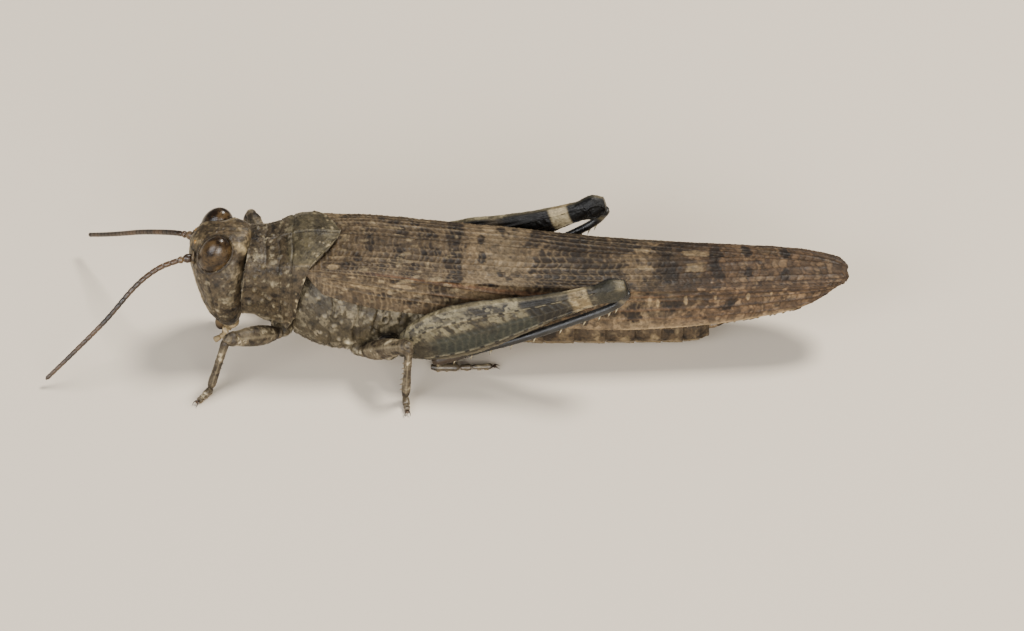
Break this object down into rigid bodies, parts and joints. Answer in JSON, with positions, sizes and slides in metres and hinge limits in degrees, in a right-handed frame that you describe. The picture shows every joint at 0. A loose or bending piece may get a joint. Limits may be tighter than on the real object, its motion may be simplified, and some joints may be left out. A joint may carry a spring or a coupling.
{
  "type": "grasshopper",
  "caption": "Life-size band-winged grasshopper at rest on its feet, wings folded over the back, hind legs raised along the sides.",
  "frame": {"origin": "bottom centre of the bounding box, on the floor that the feet stand on", "axes": "head towards -X, left side towards -Y, up +Z"},
  "size_m": [0.0491, 0.0154, 0.009],
  "materials": {
    "head": "mottled grey-brown cuticle",
    "mouth": "pale satin",
    "eye": "glossy compound eye",
    "antenna": "satin dark brown",
    "pronotum": "olive-grey rugose cuticle",
    "thorax": "mottled grey cuticle",
    "abdomen": "banded tan cuticle",
    "wing_cover": "leathery veined wing cover, brown with dark bands",
    "hind_wing": "folded thin membrane",
    "leg": "mottled pale grey cuticle",
    "hind_femur": "grey-green with a cream ring before the knee",
    "hind_tibia": "bluish black"
  },
  "bodies": {
    "root": {"abdomen_front": "abdomen", "abdomen_middle": "abdomen", "abdomen_rear": "abdomen", "abdomen_tip": "abdomen", "antenna_flagellum_a_left": "antenna", "antenna_flagellum_a_right": "antenna", "antenna_flagellum_b_left": "antenna", "antenna_flagellum_b_right": "antenna", "antenna_flagellum_c_left": "antenna", "antenna_flagellum_c_right": "antenna", "antenna_scape_left": "antenna", "antenna_scape_right": "antenna", "coxa_fore_left": "leg", "coxa_fore_right": "leg", "coxa_hind_left": "leg", "coxa_hind_right": "leg", "coxa_mid_left": "leg", "coxa_mid_right": "leg", "eye_left": "eye", "eye_right": "eye", "femur_fore_left": "leg", "femur_fore_right": "leg", "femur_hind_left": "hind_femur", "femur_hind_right": "hind_femur", "femur_mid_left": "leg", "femur_mid_right": "leg", "head": "head", "hind_wing_left": "hind_wing", "hind_wing_right": "hind_wing", "mouthparts": "mouth", "ovipositor_left": "abdomen", "ovipositor_right": "abdomen", "palp_left": "mouth", "palp_right": "mouth", "pronotum": "pronotum", "prothorax": "thorax", "tarsus_fore_left": "leg", "tarsus_fore_right": "leg", "tarsus_hind_left": "hind_tibia", "tarsus_hind_right": "hind_tibia", "tarsus_mid_left": "leg", "tarsus_mid_right": "leg", "tegmen_left": "wing_cover", "tegmen_right": "wing_cover", "thorax": "thorax", "tibia_fore_left": "leg", "tibia_fore_right": "leg", "tibia_hind_left": "hind_tibia", "tibia_hind_right": "hind_tibia", "tibia_mid_left": "leg", "tibia_mid_right": "leg"}
  },
  "joints": []
}
